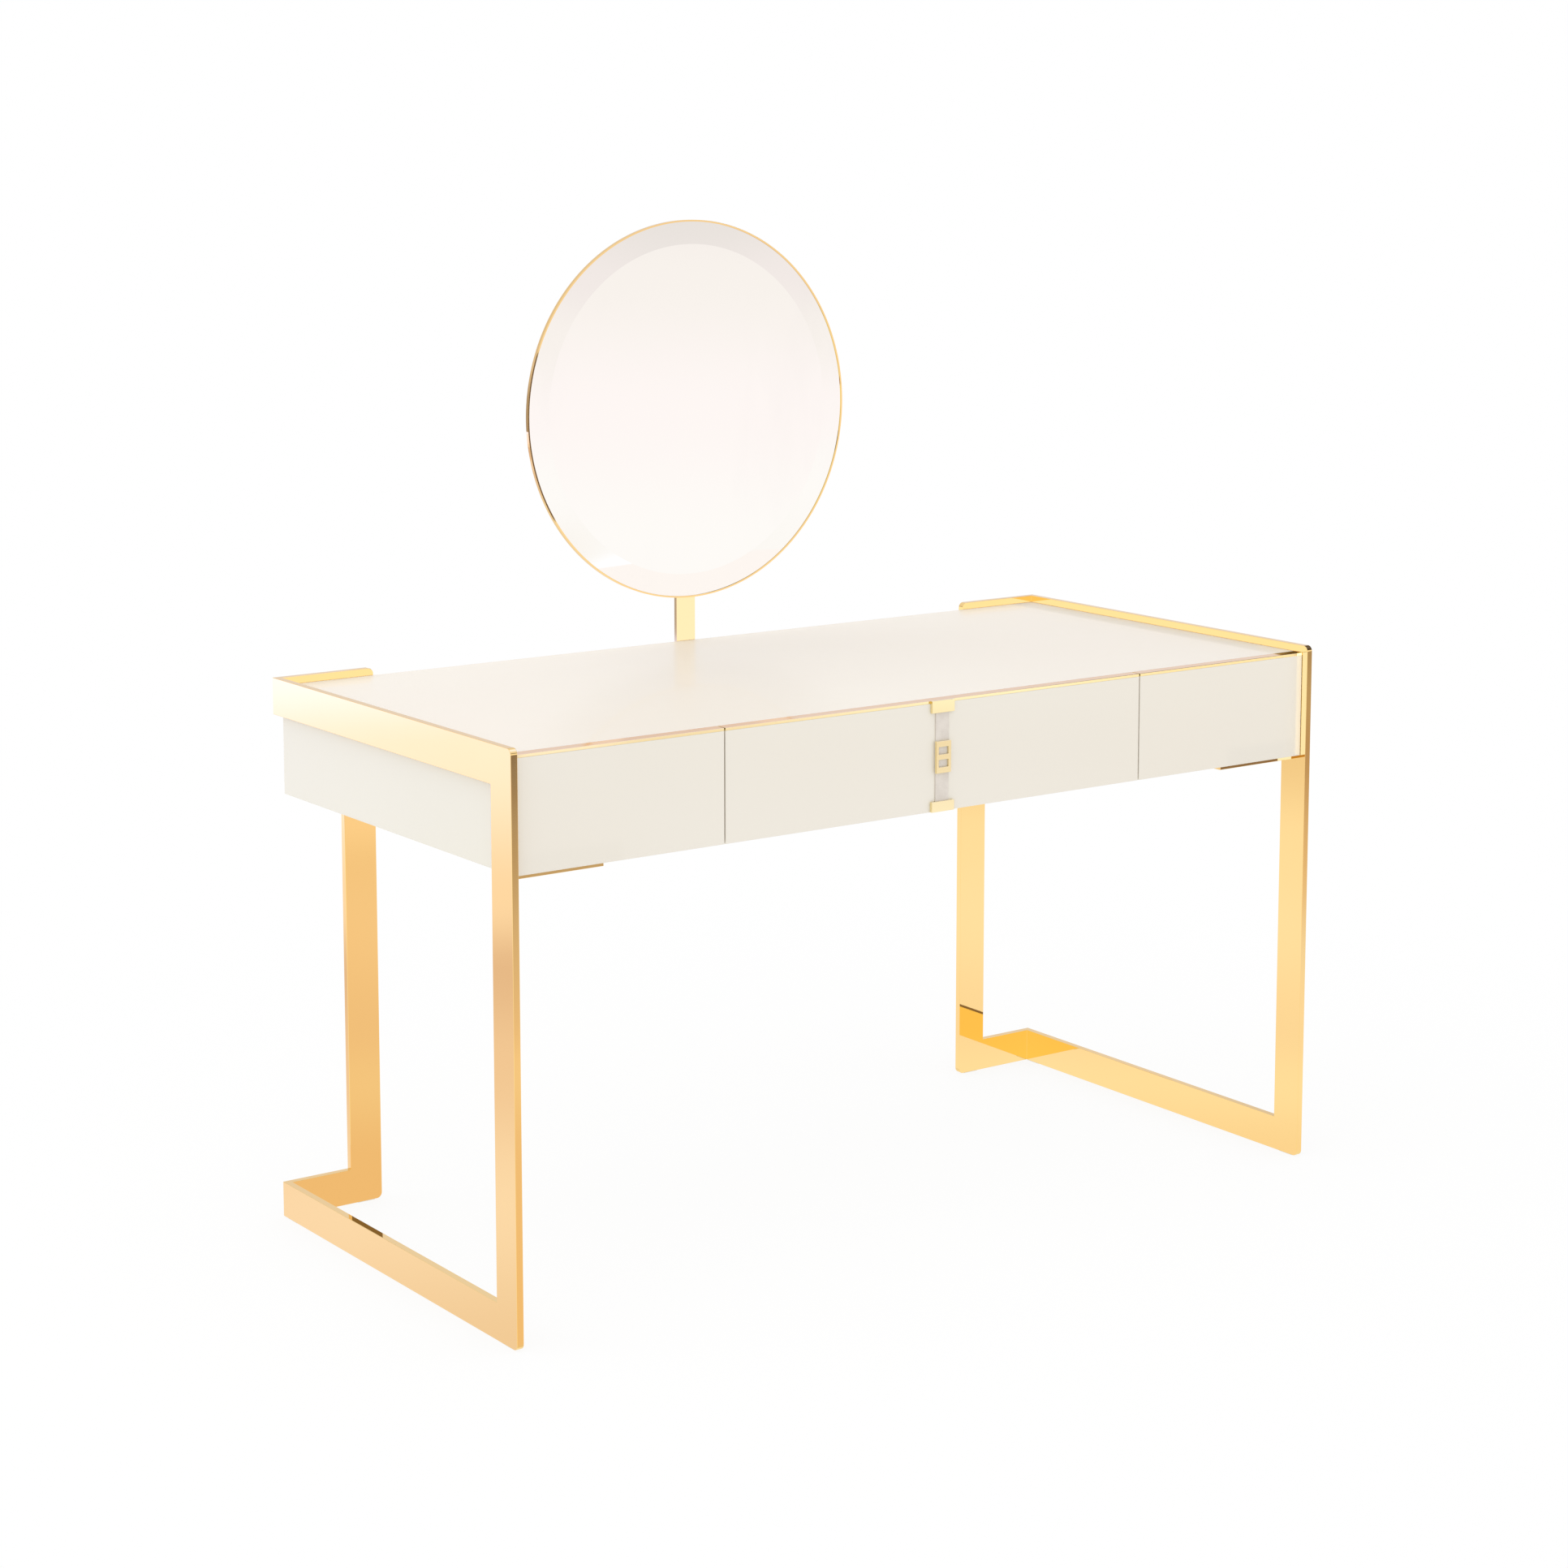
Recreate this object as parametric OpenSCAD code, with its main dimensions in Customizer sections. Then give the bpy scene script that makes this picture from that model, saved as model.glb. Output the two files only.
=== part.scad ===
// Vanity table with a round mirror on a post.
// Two flat-bar side frames, folded round the back corners, carry a lacquered case with three
// drawers side by side. A flat post behind the case holds the mirror on a friction hinge.
// Millimetres. X runs along the width, Y from the front (-Y) to the back, Z is up.
// The origin is on the floor, under the middle of the table.

/* [Table] */
// Width across the two side frames
table_w = 1323; // [1200:1:1600]
// Depth from the front legs to the back legs
table_d = 620; // [600:1:760]
// Height of the side frames
frame_h = 750; // [720:1:800]

/* [Side frames] */
// Thickness of the flat bar
bar_t = 9.5; // [8:0.5:12]
// Width of the upright legs
leg_w = 48; // [40:1:60]
// Height of the top rails
top_rail_h = 50; // [45:1:60]
// Height of the foot rails
foot_rail_h = 48.5; // [40:0.5:60]
// Length of the part folded along the back, from the frame's outer face
return_l = 147.5; // [130:0.5:180]
// Radius of the free outer corners
bar_corner_r = 8; // [3:1:12]
// Thickness of the glides under the foot rails
glide_h = 1; // [1:0.5:2]
// Depth of the bearers under the front of the case
bearer_d = 35; // [28:1:45]
// Thickness of the bearers
bearer_t = 8.5; // [8:0.5:12]

/* [Case] */
// Underside of the case above the floor
case_z = 591.5; // [575:0.5:600]
// How far the rails stand above the table top
rail_proud = 10; // [5:1:15]
// Thickness of the top, side and back panels
panel_t = 18; // [16:1:20]
// Thickness of the bottom panel
bottom_t = 12; // [10:1:15]
// Half the width from one joint between the drawer fronts to the other
joint_x = 344.7; // [320:0.1:360]

/* [Drawers] */
// How far the drawer fronts sit back from the legs' front edges
front_set = 10; // [8:1:15]
// Thickness of the drawer fronts
front_t = 17; // [16:1:20]
// Height of the metal trim along the fronts' top edge
trim_h = 4; // [3:0.5:5]
// Gap between neighbouring drawer fronts
front_gap = 2; // [1.5:0.5:4]
// Thickness of the drawer boxes' sides and backs
box_t = 12; // [10:1:15]
// Length of the drawer boxes behind the fronts
box_l = 500; // [420:10:520]
// Height of the drawer boxes
box_h = 95; // [85:1:100]
// Length of the runners
runner_l = 480; // [400:10:480]

/* [Strap] */
// Width of the strap on the middle drawer
strap_w = 22; // [16:1:26]
// Thickness of the strap
strap_t = 2; // [1.5:0.5:2.5]
// Width of the two clips that hold the strap's ends
clip_w = 37.6; // [32:0.1:44]
// Height of the upper clip
top_clip_h = 16.5; // [14:0.5:20]
// Height of the lower clip
bottom_clip_h = 14; // [12:0.5:18]
// Width of the buckle
buckle_w = 25; // [22:1:30]
// Height of the buckle
buckle_h = 43; // [36:1:50]

/* [Mirror] */
// Outer radius of the mirror with its rim
mirror_r = 272; // [220:1:290]
// Height of the mirror's middle above the floor
mirror_z = 1077; // [1060:1:1150]
// Depth of the rim
rim_d = 5.5; // [5:0.5:7]
// Width of the bevel ground round the glass
bevel_w = 32; // [20:1:40]
// Width of the post
post_w = 32; // [28:1:40]
// Thickness of the post
post_t = 6; // [5:0.5:8]

/* [Hidden] */
$fn = 64;

LEFT = -1;
CENTRE = 0;
RIGHT = 1;

// Planes shared by the frames, the case and the drawers
half_w = table_w / 2;
half_d = table_d / 2;
inner_x = half_w - bar_t;
back_y = half_d - bar_t;
top_z = frame_h - rail_proud;
panel_top_z = top_z - panel_t;
front_y = -half_d + front_set;
close_gap = 0.5;
carcass_y = front_y + front_t + close_gap;
return_x = half_w - return_l;

// Drawer bays between the panels, as [low x, high x]
bay_outer = inner_x - panel_t;
BAY = [
    [-bay_outer, -joint_x - panel_t / 2],
    [-joint_x + panel_t / 2, joint_x - panel_t / 2],
    [joint_x + panel_t / 2, bay_outer]
];
// Drawer fronts, as [low x, high x]
end_gap = 0.5;
FRONT = [
    [-inner_x + end_gap, -joint_x - front_gap / 2],
    [-joint_x + front_gap / 2, joint_x - front_gap / 2],
    [joint_x + front_gap / 2, inner_x - end_gap]
];
trim_z = top_z - trim_h;

// Drawer boxes and their runners
runner_w = 12.7;
box_clearance = 5;
box_z = case_z + bottom_t + box_clearance;
box_y = front_y + front_t;
drawer_bottom_t = 6;
drawer_bottom_lift = 6;
drawer_bottom_z = box_z + drawer_bottom_lift;
runner_set = 2;
runner_y = carcass_y + runner_set;
runner_z = box_z + box_h / 2;
// Each runner member is a channel: [height, first x, last x, steel thickness]
// with x measured from the wall of the bay
CASE_CHANNEL = [45, 0, 9, 1.5];
MID_CHANNEL = [38, 4, 10.5, 1.2];
DRAWER_CHANNEL = [31.6, 6.5, runner_w, 1.2];

// Screws
screw_r = 2.2;
screw_head_r = 4.2;
screw_head_h = 2.2;
socket_r = 1.6;
socket_d = 1.4;
bearer_screw_x = [35, 95];
bearer_screw_bite = 8;
bearer_screw_l = bearer_t + bearer_screw_bite;
rail_screw_y = [-120, 160];
rail_screw_drop = 11;
rail_screw_z = panel_top_z - rail_screw_drop;
rail_screw_head = 2.5;
rail_screw_bite = 6;
post_screw_x = [-8, 8];
post_screw_rise = 25;
post_screw_drop = 17;
post_screw_z = [case_z + post_screw_rise, panel_top_z - post_screw_drop];
post_screw_bite = 13;
post_screw_l = post_t + post_screw_bite;

// Mirror and hinge
post_space = 8;
mirror_back_y = back_y - post_space;
mirror_y = mirror_back_y - rim_d;
rim_t = 2.4;
glass_t = 4;
glass_inset = 0.3;
glass_edge_t = 3.2;
backing_r = mirror_r - rim_t;
hinge_y = back_y - post_space / 2;
knuckle_r = post_space / 2 - 0.4;
pin_r = 1.8;
pin_clearance = 0.05;
ear_gap = 1;
ear_t = 3.5;
ear_foot_w = 20;
ear_foot_h = 24;
ear_foot_t = 1.5;
pin_end = 1;
pin_l = post_w + 2 * (ear_gap + ear_t + pin_end);
post_over = 15;
post_foot_rise = 8;
post_foot_z = case_z + post_foot_rise;
post_corner_r = 4;

// Glides under the legs
glide_side = 1;
glide_l = 26;

// Strap, clips and buckle
strap_tuck = 6;
clip_t = 4;
clip_corner_r = 1;
top_clip_z = top_z - top_clip_h;
buckle_t = 3;
buckle_corner_r = 2;
side_bar = 4.5;
end_bar = 8;
middle_bar = 7;

// Colours
GOLD = [0.93, 0.76, 0.45];
LACQUER = [0.93, 0.91, 0.86];
BIRCH = [0.85, 0.76, 0.62];
STEEL = [0.72, 0.73, 0.75];
STRAP_GREY = [0.88, 0.85, 0.80];
GLASS = [0.96, 0.96, 0.97];
BACKING = [0.82, 0.80, 0.76];
NYLON = [0.95, 0.95, 0.94];

// Draws its children on the right, or mirrored on the left
module on_side(side) {
    if (side == RIGHT) children();
    else mirror([1, 0, 0]) children();
}

// A box from its low corner to its high corner
module block(low, high) {
    translate(low) cube(high - low);
}

// Extrudes a (Y, Z) outline along X
module along_x(x0, x1) {
    translate([x0, 0, 0]) rotate([90, 0, 90]) linear_extrude(x1 - x0) children();
}

// Extrudes an (X, Z) outline along Y
module along_y(y0, y1) {
    translate([0, y1, 0]) rotate([90, 0, 0]) linear_extrude(y1 - y0) children();
}

// A rectangle with its low corner at the origin and its two low-u corners rounded
module end_outline(w, h, r) {
    translate([r, 0]) square([w - r, h]);
    translate([0, r]) square([r, h - 2 * r]);
    translate([r, r]) circle(r);
    translate([r, h - r]) circle(r);
}

// A rectangle centred on the Z axis with all its corners rounded
module rounded_outline(w, z0, z1, r) {
    translate([-w / 2 + r, z0]) square([w - 2 * r, z1 - z0]);
    translate([-w / 2, z0 + r]) square([w, z1 - z0 - 2 * r]);
    for (x = [-w / 2 + r, w / 2 - r]) {
        for (z = [z0 + r, z1 - r]) translate([x, z]) circle(r);
    }
}

// ---- Side frames ----

module front_leg(side) {
    color(GOLD) on_side(side) along_x(inner_x, half_w)
        translate([-half_d, glide_h]) end_outline(leg_w, frame_h - glide_h, bar_corner_r);
}

module rail_screw_row(r, x0, x1) {
    for (y = rail_screw_y) {
        translate([x0, y, rail_screw_z]) rotate([0, 90, 0]) cylinder(h = x1 - x0, r = r);
    }
}

module top_rail(side) {
    color(GOLD) on_side(side) difference() {
        block([inner_x, -half_d + leg_w, frame_h - top_rail_h], [half_w, half_d, frame_h]);
        rail_screw_row(screw_r, inner_x - 1, inner_x + rail_screw_bite);
    }
}

module foot_rail(side) {
    color(GOLD) on_side(side)
        block([inner_x, -half_d + leg_w, glide_h], [half_w, half_d, glide_h + foot_rail_h]);
}

// The parts folded along the back, between the corner and the back leg
module frame_return(side, z0, z1) {
    color(GOLD) on_side(side)
        block([return_x + leg_w, back_y, z0], [inner_x, half_d, z1]);
}

module back_leg(side) {
    color(GOLD) on_side(side) along_y(back_y, half_d)
        translate([return_x, glide_h]) end_outline(leg_w, frame_h - glide_h, bar_corner_r);
}

module bearer_screw_places() {
    for (x = bearer_screw_x) {
        translate([return_x + x, carcass_y + bearer_d / 2, case_z - bearer_t]) children();
    }
}

// The space of a countersunk screw along +Z, with its head's flat at z = 0
module countersink(l) {
    cylinder(h = screw_head_h, r1 = screw_head_r, r2 = screw_r);
    cylinder(h = l, r = screw_r);
}

// The screw itself, with a hexagonal socket in its head
module socket_screw(l) {
    difference() {
        countersink(l);
        translate([0, 0, -1]) cylinder(h = 1 + socket_d, r = socket_r, $fn = 6);
    }
}

module bearer(side) {
    color(GOLD) on_side(side) difference() {
        block([return_x, carcass_y, case_z - bearer_t],
              [inner_x, carcass_y + bearer_d, case_z]);
        bearer_screw_places() countersink(bearer_screw_l);
    }
}

module bearer_screws() {
    color(STEEL) for (side = [LEFT, RIGHT]) {
        on_side(side) bearer_screw_places() socket_screw(bearer_screw_l);
    }
}

// Round-headed screws from inside the case into the top rails
module rail_screws() {
    color(STEEL) for (side = [LEFT, RIGHT]) {
        on_side(side) {
            rail_screw_row(screw_r, bay_outer, inner_x + rail_screw_bite);
            rail_screw_row(screw_head_r, bay_outer - rail_screw_head, bay_outer);
        }
    }
}

module floor_glides() {
    glide_w = bar_t - 2 * glide_side;
    color(NYLON) for (side = [LEFT, RIGHT]) {
        on_side(side) {
            for (y = [-half_d + leg_w / 2, half_d - leg_w / 2]) {
                translate([half_w - bar_t / 2, y, glide_h / 2])
                    cube([glide_w, glide_l, glide_h], center = true);
            }
            translate([return_x + leg_w / 2, half_d - bar_t / 2, glide_h / 2])
                cube([glide_l, glide_w, glide_h], center = true);
        }
    }
}

// ---- Case ----

module table_top() {
    color(LACQUER) block([-inner_x, carcass_y, panel_top_z], [inner_x, back_y, top_z]);
}

module side_panel(side) {
    color(LACQUER) on_side(side) difference() {
        block([bay_outer, carcass_y, case_z], [inner_x, back_y, panel_top_z]);
        rail_screw_row(screw_r, bay_outer - 1, inner_x + 1);
    }
}

module post_screw_places() {
    for (x = post_screw_x) {
        for (z = post_screw_z) {
            translate([x, back_y + post_t, z]) rotate([90, 0, 0]) children();
        }
    }
}

module back_panel() {
    color(LACQUER) difference() {
        block([-bay_outer, back_y - panel_t, case_z], [bay_outer, back_y, panel_top_z]);
        post_screw_places() countersink(post_screw_l);
    }
}

module bottom_panel() {
    color(LACQUER) difference() {
        block([-bay_outer, carcass_y, case_z],
              [bay_outer, back_y - panel_t, case_z + bottom_t]);
        for (side = [LEFT, RIGHT]) {
            on_side(side) bearer_screw_places() countersink(bearer_screw_l);
        }
    }
}

module divider(side) {
    color(BIRCH) on_side(side)
        block([joint_x - panel_t / 2, carcass_y, case_z + bottom_t],
              [joint_x + panel_t / 2, back_y - panel_t, panel_top_z]);
}

// ---- Drawers: which is LEFT, CENTRE or RIGHT ----

// Low and high x of a drawer's box, between its runners
function box_x(which) = [BAY[which + 1][0] + runner_w, BAY[which + 1][1] - runner_w];

module drawer_front(which) {
    span = FRONT[which + 1];
    color(LACQUER) block([span[0], front_y, case_z], [span[1], box_y, trim_z]);
}

module drawer_trim(which) {
    span = FRONT[which + 1];
    color(GOLD) block([span[0], front_y, trim_z], [span[1], box_y, top_z]);
}

module drawer_sides(which) {
    span = box_x(which);
    color(BIRCH) {
        block([span[0], box_y, box_z], [span[0] + box_t, box_y + box_l, box_z + box_h]);
        block([span[1] - box_t, box_y, box_z], [span[1], box_y + box_l, box_z + box_h]);
    }
}

module drawer_back(which) {
    span = box_x(which);
    color(BIRCH) block([span[0] + box_t, box_y + box_l - box_t, box_z],
                       [span[1] - box_t, box_y + box_l, box_z + box_h]);
}

module drawer_bottom(which) {
    span = box_x(which);
    color(BIRCH) block([span[0] + box_t, box_y, drawer_bottom_z],
                       [span[1] - box_t, box_y + box_l - box_t,
                        drawer_bottom_z + drawer_bottom_t]);
}

// A runner channel along Y at x = 0, open towards the wall or away from it
module channel(shape, open_to_wall) {
    h = shape[0];
    x0 = shape[1];
    x1 = shape[2];
    t = shape[3];
    cut_x0 = open_to_wall ? x0 - 1 : x0 + t;
    cut_x1 = open_to_wall ? x1 - t : x1 + 1;
    translate([0, runner_y, runner_z]) difference() {
        block([x0, 0, -h / 2], [x1, runner_l, h / 2]);
        block([cut_x0, -1, -h / 2 + t], [cut_x1, runner_l + 1, h / 2 - t]);
    }
}

// One channel on each wall of a drawer's bay
module runner_pair(which, shape, open_to_wall = false) {
    color(STEEL) {
        translate([BAY[which + 1][0], 0, 0]) channel(shape, open_to_wall);
        translate([BAY[which + 1][1], 0, 0]) mirror([1, 0, 0]) channel(shape, open_to_wall);
    }
}

// ---- Strap on the middle drawer ----

module strap() {
    color(STRAP_GREY) block(
        [-strap_w / 2, front_y - strap_t, case_z + bottom_clip_h - strap_tuck],
        [strap_w / 2, front_y, top_clip_z + strap_tuck]);
}

// A clip with a pocket behind its face for the strap's end
module strap_clip(z0, h, pocket_z) {
    color(GOLD) difference() {
        along_y(front_y - clip_t, front_y) rounded_outline(clip_w, z0, z0 + h, clip_corner_r);
        block([-strap_w / 2, front_y - strap_t, pocket_z],
              [strap_w / 2, front_y + 1, pocket_z + strap_tuck]);
    }
}

// A plain two-window slide buckle that lies on the strap
module strap_buckle() {
    mid_z = (case_z + bottom_clip_h + top_clip_z) / 2;
    window_w = buckle_w - 2 * side_bar;
    window_h = (buckle_h - 2 * end_bar - middle_bar) / 2;
    y0 = front_y - strap_t - buckle_t;
    color(GOLD) difference() {
        along_y(y0, y0 + buckle_t)
            rounded_outline(buckle_w, mid_z - buckle_h / 2, mid_z + buckle_h / 2,
                            buckle_corner_r);
        for (z0 = [mid_z - middle_bar / 2 - window_h, mid_z + middle_bar / 2]) {
            block([-window_w / 2, y0 - 1, z0], [window_w / 2, y0 + buckle_t + 1, z0 + window_h]);
        }
    }
}

// ---- Mirror ----

module mirror_post() {
    color(GOLD) difference() {
        along_y(back_y, back_y + post_t)
            rounded_outline(post_w, post_foot_z, mirror_z + post_over, post_corner_r);
        post_screw_places() countersink(post_screw_l);
    }
}

module post_screws() {
    color(STEEL) post_screw_places() socket_screw(post_screw_l);
}

// A cylinder along the hinge axis between two x
module on_hinge_axis(x0, x1, r) {
    translate([x0, hinge_y, mirror_z]) rotate([0, 90, 0]) cylinder(h = x1 - x0, r = r);
}

// Barrel fixed on the front of the post
module hinge_knuckle() {
    half = post_w / 2;
    color(GOLD) difference() {
        union() {
            on_hinge_axis(-half, half, knuckle_r);
            block([-half, hinge_y, mirror_z - knuckle_r], [half, back_y, mirror_z + knuckle_r]);
        }
        on_hinge_axis(-half - 1, half + 1, pin_r);
    }
}

module hinge_pin() {
    color(STEEL) on_hinge_axis(-pin_l / 2, pin_l / 2, pin_r);
}

// Two ears on the mirror's back, one at each end of the knuckle
module mirror_bracket() {
    ear_x = post_w / 2 + ear_gap;
    color(GOLD) for (side = [LEFT, RIGHT]) {
        on_side(side) difference() {
            union() {
                on_hinge_axis(ear_x, ear_x + ear_t, knuckle_r);
                block([ear_x, mirror_back_y, mirror_z - knuckle_r],
                      [ear_x + ear_t, hinge_y, mirror_z + knuckle_r]);
                block([ear_x, mirror_back_y, mirror_z - ear_foot_h / 2],
                      [ear_x + ear_foot_w, mirror_back_y + ear_foot_t,
                       mirror_z + ear_foot_h / 2]);
            }
            on_hinge_axis(ear_x - 1, ear_x + ear_t + 1, pin_r + pin_clearance);
        }
    }
}

// A shape turned round the mirror's axis: outline points are [radius, depth behind the front]
module turned(points) {
    translate([0, mirror_y, mirror_z]) rotate([-90, 0, 0])
        rotate_extrude($fn = 180) polygon(points);
}

module mirror_rim() {
    color(GOLD) turned([
        [backing_r, 0],
        [mirror_r, 0],
        [mirror_r, rim_d],
        [backing_r, rim_d]
    ]);
}

module mirror_glass() {
    glass_back = glass_inset + glass_t;
    color(GLASS) turned([
        [0, glass_inset],
        [backing_r - bevel_w, glass_inset],
        [backing_r, glass_back - glass_edge_t],
        [backing_r, glass_back],
        [0, glass_back]
    ]);
}

module mirror_backing() {
    color(BACKING) turned([
        [0, glass_inset + glass_t],
        [backing_r, glass_inset + glass_t],
        [backing_r, rim_d],
        [0, rim_d]
    ]);
}

front_leg(LEFT);  // left_front_leg
top_rail(LEFT);  // left_top_rail
foot_rail(LEFT);  // left_foot_rail
frame_return(LEFT, frame_h - top_rail_h, frame_h);  // left_top_return
frame_return(LEFT, glide_h, glide_h + foot_rail_h);  // left_foot_return
back_leg(LEFT);  // left_back_leg
bearer(LEFT);  // left_bearer
front_leg(RIGHT);  // right_front_leg
top_rail(RIGHT);  // right_top_rail
foot_rail(RIGHT);  // right_foot_rail
frame_return(RIGHT, frame_h - top_rail_h, frame_h);  // right_top_return
frame_return(RIGHT, glide_h, glide_h + foot_rail_h);  // right_foot_return
back_leg(RIGHT);  // right_back_leg
bearer(RIGHT);  // right_bearer
floor_glides();
bearer_screws();
rail_screws();
table_top();
side_panel(LEFT);  // left_side_panel
side_panel(RIGHT);  // right_side_panel
back_panel();
bottom_panel();
divider(LEFT);  // left_divider
divider(RIGHT);  // right_divider
drawer_front(LEFT);  // left_drawer_front
drawer_trim(LEFT);  // left_drawer_trim
drawer_sides(LEFT);  // left_drawer_sides
drawer_back(LEFT);  // left_drawer_back
drawer_bottom(LEFT);  // left_drawer_bottom
runner_pair(LEFT, CASE_CHANNEL);  // left_case_runners
runner_pair(LEFT, MID_CHANNEL);  // left_mid_runners
runner_pair(LEFT, DRAWER_CHANNEL, true);  // left_drawer_runners
drawer_front(CENTRE);  // centre_drawer_front
drawer_trim(CENTRE);  // centre_drawer_trim
drawer_sides(CENTRE);  // centre_drawer_sides
drawer_back(CENTRE);  // centre_drawer_back
drawer_bottom(CENTRE);  // centre_drawer_bottom
runner_pair(CENTRE, CASE_CHANNEL);  // centre_case_runners
runner_pair(CENTRE, MID_CHANNEL);  // centre_mid_runners
runner_pair(CENTRE, DRAWER_CHANNEL, true);  // centre_drawer_runners
drawer_front(RIGHT);  // right_drawer_front
drawer_trim(RIGHT);  // right_drawer_trim
drawer_sides(RIGHT);  // right_drawer_sides
drawer_back(RIGHT);  // right_drawer_back
drawer_bottom(RIGHT);  // right_drawer_bottom
runner_pair(RIGHT, CASE_CHANNEL);  // right_case_runners
runner_pair(RIGHT, MID_CHANNEL);  // right_mid_runners
runner_pair(RIGHT, DRAWER_CHANNEL, true);  // right_drawer_runners
strap();
strap_clip(top_clip_z, top_clip_h, top_clip_z);  // strap_top_clip
strap_clip(case_z, bottom_clip_h, case_z + bottom_clip_h - strap_tuck);  // strap_bottom_clip
strap_buckle();
mirror_post();
post_screws();
hinge_knuckle();
hinge_pin();
mirror_bracket();
mirror_backing();
mirror_glass();
mirror_rim();
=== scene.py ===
"""Looks for the vanity table with a round mirror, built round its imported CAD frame.

Everything is in metres in the frame's own axes: X right, Y back, Z up, origin on the floor
under the middle of the table. Places and main sizes come from the CAD boxes. MM turns
millimetres to metres.
"""
import math

import bmesh
import bpy
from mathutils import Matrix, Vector


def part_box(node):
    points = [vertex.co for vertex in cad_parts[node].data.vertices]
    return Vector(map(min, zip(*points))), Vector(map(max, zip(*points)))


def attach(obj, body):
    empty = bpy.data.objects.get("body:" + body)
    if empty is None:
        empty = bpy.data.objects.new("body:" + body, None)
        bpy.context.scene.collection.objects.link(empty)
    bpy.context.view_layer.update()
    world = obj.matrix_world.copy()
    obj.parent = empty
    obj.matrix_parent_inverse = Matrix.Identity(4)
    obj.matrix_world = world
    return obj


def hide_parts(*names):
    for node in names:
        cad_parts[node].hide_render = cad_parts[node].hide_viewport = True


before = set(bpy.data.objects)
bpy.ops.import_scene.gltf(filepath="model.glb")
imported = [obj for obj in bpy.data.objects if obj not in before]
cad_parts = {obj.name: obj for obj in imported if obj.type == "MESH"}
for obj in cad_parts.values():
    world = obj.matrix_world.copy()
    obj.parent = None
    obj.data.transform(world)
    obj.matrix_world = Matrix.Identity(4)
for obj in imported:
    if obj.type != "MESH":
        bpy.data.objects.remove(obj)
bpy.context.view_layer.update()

MM = 0.001
SIDES = ("left", "right")
DRAWERS = ("left", "centre", "right")
SHARP = math.radians(30)
WHITE = (1.0, 1.0, 1.0, 1.0)


# ---------------------------------------------------------------- materials

class Nodes:
    """A node tree, with short calls to add and join its nodes."""

    def __init__(self, tree, place):
        self.tree = tree
        self.place = self.add("TexCoord").outputs[place]

    def add(self, kind, inputs=(), **settings):
        """Adds a node. inputs maps its sockets to numbers or to other nodes' outputs."""
        node = self.tree.nodes.new("ShaderNode" + kind)
        for key, value in settings.items():
            setattr(node, key, value)
        for socket, value in dict(inputs).items():
            self.put(node.inputs[socket], value)
        return node

    def put(self, socket, value):
        """Joins another node's output to a socket, or sets the socket to a number or colour."""
        if isinstance(value, bpy.types.NodeSocket):
            self.tree.links.new(value, socket)
        else:
            socket.default_value = value

    def stretched(self, scale):
        """The object's coordinates, scaled differently along each axis."""
        return self.add("Mapping", {"Vector": self.place, "Scale": scale}).outputs[0]

    def noise(self, scale, detail=3.0, vector=None, rough=0.5):
        """Cloudy noise from 0 to 1, in the object's coordinates unless a vector is given."""
        place = vector or self.place
        node = self.add("TexNoise", {"Vector": place, "Scale": scale, "Detail": detail,
                                     "Roughness": rough})
        return node.outputs["Fac"]

    def between(self, factor, low, high):
        """Maps a factor from 0..1 to low..high."""
        return self.add("MapRange", {"Value": factor, "To Min": low, "To Max": high}).outputs[0]

    def window(self, factor, start, end):
        """0 below start, 1 above end, and smooth in between."""
        node = self.add("MapRange", {"Value": factor, "From Min": start, "From Max": end})
        node.interpolation_type = "SMOOTHSTEP"
        return node.outputs[0]

    def ramp(self, factor, stops, most):
        """A colour from rising (value, colour) stops, whose channels go up to most."""
        start, end = stops[0][0], stops[-1][0]
        unit = self.add("MapRange", {"Value": factor, "From Min": start, "From Max": end})
        node = self.add("ValToRGB", {"Fac": unit.outputs[0]})
        node.color_ramp.interpolation = "EASE"
        elements = node.color_ramp.elements
        for value, _ in stops[2:]:
            elements.new((value - start) / (end - start))
        for element, (value, colour) in zip(elements, stops):
            element.position = (value - start) / (end - start)
            element.color = (*(channel / most for channel in colour), 1.0)
        scaled = self.add("VectorMath", {0: node.outputs["Color"], "Scale": most},
                          operation="SCALE")
        return scaled.outputs["Vector"]

    def blend(self, factor, first, second):
        """A colour between two colours."""
        node = self.add("Mix", data_type="RGBA")
        self.put(node.inputs["Factor"], factor)
        self.put(node.inputs["A"], first)
        self.put(node.inputs["B"], second)
        return node.outputs["Result"]

    def plus(self, first, second):
        """The sum of two factors."""
        return self.add("Math", {0: first, 1: second}, operation="ADD").outputs[0]

    def all_of(self, first, *others):
        """The product of factors."""
        for other in others:
            product = self.add("Math", {0: first, 1: other}, operation="MULTIPLY")
            first = product.outputs[0]
        return first

    def tint(self, factor, colour, by):
        """A colour multiplied by another, (red, green, blue), as far as a factor says."""
        node = self.add("Mix", data_type="RGBA", blend_type="MULTIPLY")
        self.put(node.inputs["Factor"], factor)
        self.put(node.inputs["A"], colour)
        self.put(node.inputs["B"], (*by, 1.0))
        return node.outputs["Result"]

    def bump(self, height, strength, distance):
        """A normal tilted by fine relief, whose full height is distance."""
        node = self.add("Bump", {"Height": height, "Strength": strength, "Distance": distance})
        return node.outputs["Normal"]


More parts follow.
